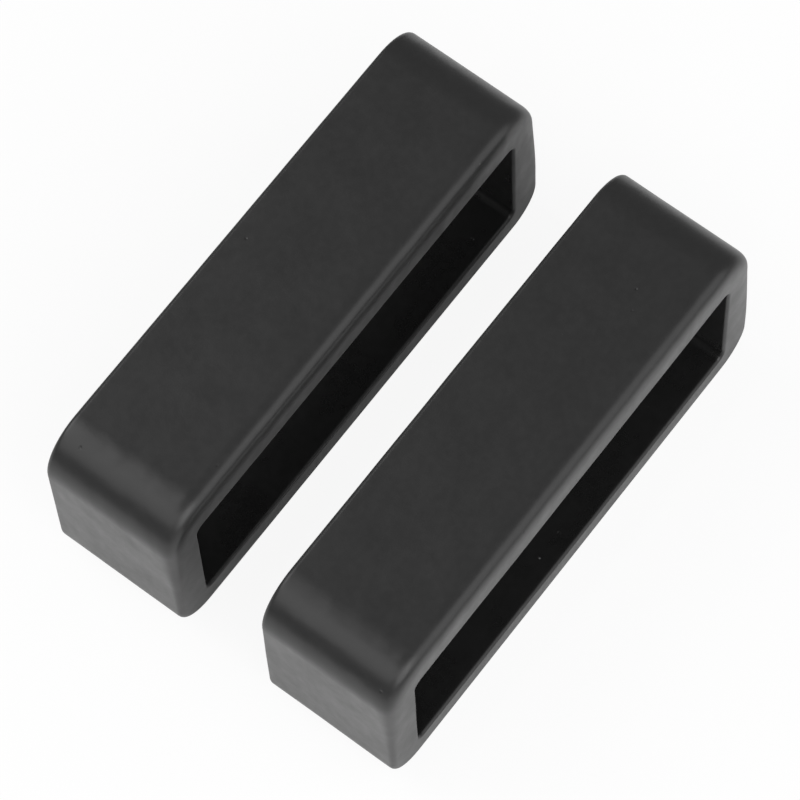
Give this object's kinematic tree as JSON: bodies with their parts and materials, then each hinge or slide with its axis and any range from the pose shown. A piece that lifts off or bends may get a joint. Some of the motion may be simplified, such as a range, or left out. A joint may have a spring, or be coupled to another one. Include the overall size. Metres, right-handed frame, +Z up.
{
  "type": "watch strap keeper pair",
  "caption": "Moulded rubber strap keepers: closed rectangular loops with soft outer corners and a straight slot that holds the tail of a watch strap.",
  "frame": {"origin": "on the surface that the pair stands on, midway between the two keepers", "axes": "+X across the strap, along each slot's long side; +Y along the strap from the front keeper to the rear keeper; +Z up, from the wall that lies against the wrist to the thicker wall over the strap's tail"},
  "size_m": [0.026, 0.0186, 0.0106],
  "materials": {
    "black_silicone": "satin black silicone rubber as it leaves the mould, with a very fine grain"
  },
  "bodies": {
    "fixed_loop": {"rear_keeper": "black_silicone"},
    "free_loop": {"front_keeper": "black_silicone"}
  },
  "joints": [
    {"name": "free_keeper_slide", "type": "slide", "parent": "fixed_loop", "child": "free_loop", "axis": [0, -1, 0], "range_m": [-0.0044, 0.035]}
  ]
}
